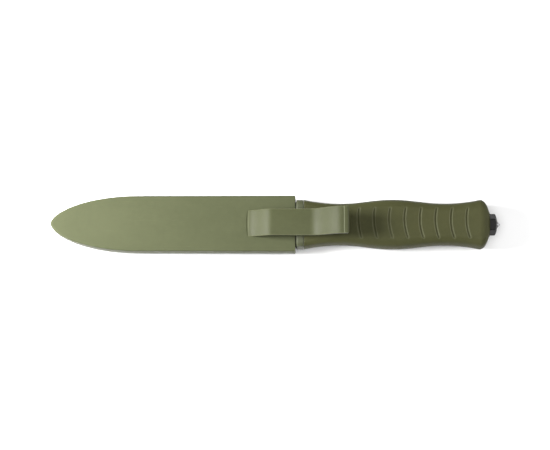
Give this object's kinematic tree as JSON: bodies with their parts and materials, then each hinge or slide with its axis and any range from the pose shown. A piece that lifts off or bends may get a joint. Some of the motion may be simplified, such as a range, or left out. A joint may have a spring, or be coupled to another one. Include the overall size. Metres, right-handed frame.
{
  "type": "sheathed hand digger",
  "caption": "Slim dished digging blade with a ribbed rubber grip and hex pommel nut, held in a spear-shaped moulded sheath with a sprung belt clip.",
  "frame": {"origin": "on the sheath's flat back face, on its middle line, under the belt clip's root", "axes": "+X from the sheath's tip towards the pommel, +Y across the width, +Z out of the face that carries the belt clip"},
  "size_m": [0.2913, 0.0366, 0.0377],
  "materials": {
    "sheath_nylon": "moulded olive nylon, satin, fine spark texture",
    "throat_nylon": "dark moulded nylon",
    "spring_steel": "stainless spring strip",
    "rivet_brass": "formed rivet head",
    "blade_steel": "satin ground stainless",
    "stud_steel": "turned steel",
    "collar_nylon": "moulded olive nylon",
    "core_nylon": "hard moulded nylon",
    "grip_rubber": "soft dark olive rubber, matt",
    "washer_steel": "zinc plated",
    "nut_black": "black oxide, oiled",
    "carbide": "ground carbide"
  },
  "bodies": {
    "sheath": {"sheath_back_shell": "sheath_nylon", "sheath_front_shell": "sheath_nylon", "throat_insert": "throat_nylon", "retention_rivet_left": "rivet_brass", "retention_rivet_right": "rivet_brass"},
    "tool": {"digging_blade": "blade_steel", "tang_stud": "stud_steel", "guard_collar": "collar_nylon", "grip_core": "core_nylon", "grip_sleeve": "grip_rubber", "pommel_washer": "washer_steel", "spring_washer": "washer_steel", "pommel_nut": "nut_black", "breaker_point": "carbide"},
    "clip": {"belt_clip": "sheath_nylon"},
    "spring": {"retention_spring": "spring_steel"}
  },
  "joints": [
    {"name": "tool_draw", "type": "slide", "parent": "sheath", "child": "tool", "axis": [1, 0, 0], "range_m": [0, 0.165]},
    {"name": "clip_flex", "type": "hinge", "parent": "sheath", "child": "clip", "pos_m": [-0.0034, 0, 0.0143], "axis": [0, -1, 0], "range_deg": [0, 8], "stiffness_Nm_per_rad": 1},
    {"name": "retention_flex", "type": "hinge", "parent": "sheath", "child": "spring", "pos_m": [-0.027, 0, 0.0026], "axis": [0, 1, 0], "range_deg": [0, 1.4], "stiffness_Nm_per_rad": 0.1}
  ]
}
